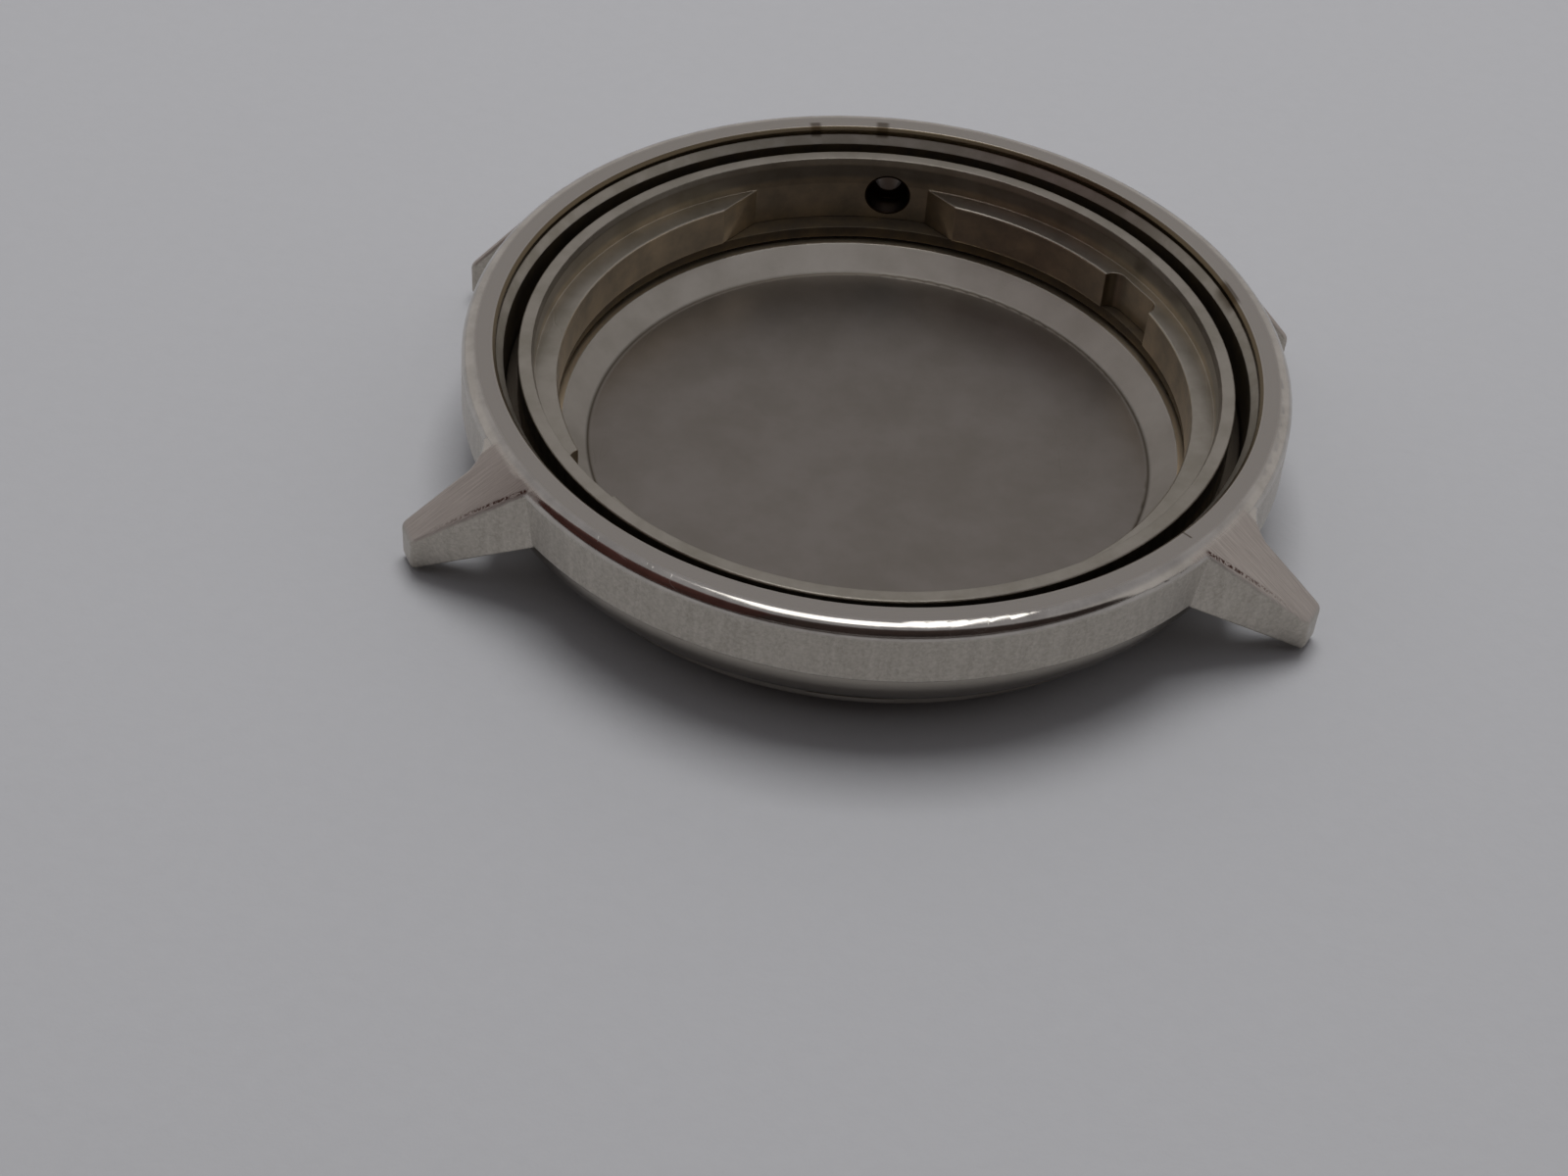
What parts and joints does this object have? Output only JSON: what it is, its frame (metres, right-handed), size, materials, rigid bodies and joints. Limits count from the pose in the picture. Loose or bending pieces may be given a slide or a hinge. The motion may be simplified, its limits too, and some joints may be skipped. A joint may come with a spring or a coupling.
{
  "type": "watch case",
  "caption": "Empty round steel wristwatch case with lugs, loose casing ring, snap back, back gasket and stem tube; crystal, crown and movement are out.",
  "frame": {"origin": "on the case axis, in the plane that the case back stands on", "axes": "+X from 12 o'clock to 6 o'clock, +Y towards the stem at 3 o'clock, +Z out of the open dial side"},
  "size_m": [0.0364, 0.034, 0.0063],
  "materials": {
    "case_steel": "brushed band and lugs, polished rim",
    "ring_steel": "turned, dulled",
    "back_steel": "dull pressed inside, satin outside",
    "gasket_rubber": "matt",
    "tube_steel": "plain turned"
  },
  "bodies": {
    "case": {"case_middle": "case_steel", "stem_tube": "tube_steel"},
    "ring": {"casing_ring": "ring_steel"},
    "back": {"case_back": "back_steel", "back_gasket": "gasket_rubber"}
  },
  "joints": [
    {"name": "ring_lift", "type": "slide", "parent": "case", "child": "ring", "axis": [0, 0, 1], "range_m": [0, 0.008]},
    {"name": "back_off", "type": "slide", "parent": "case", "child": "back", "axis": [0, 0, -1], "range_m": [0, 0.006]}
  ]
}
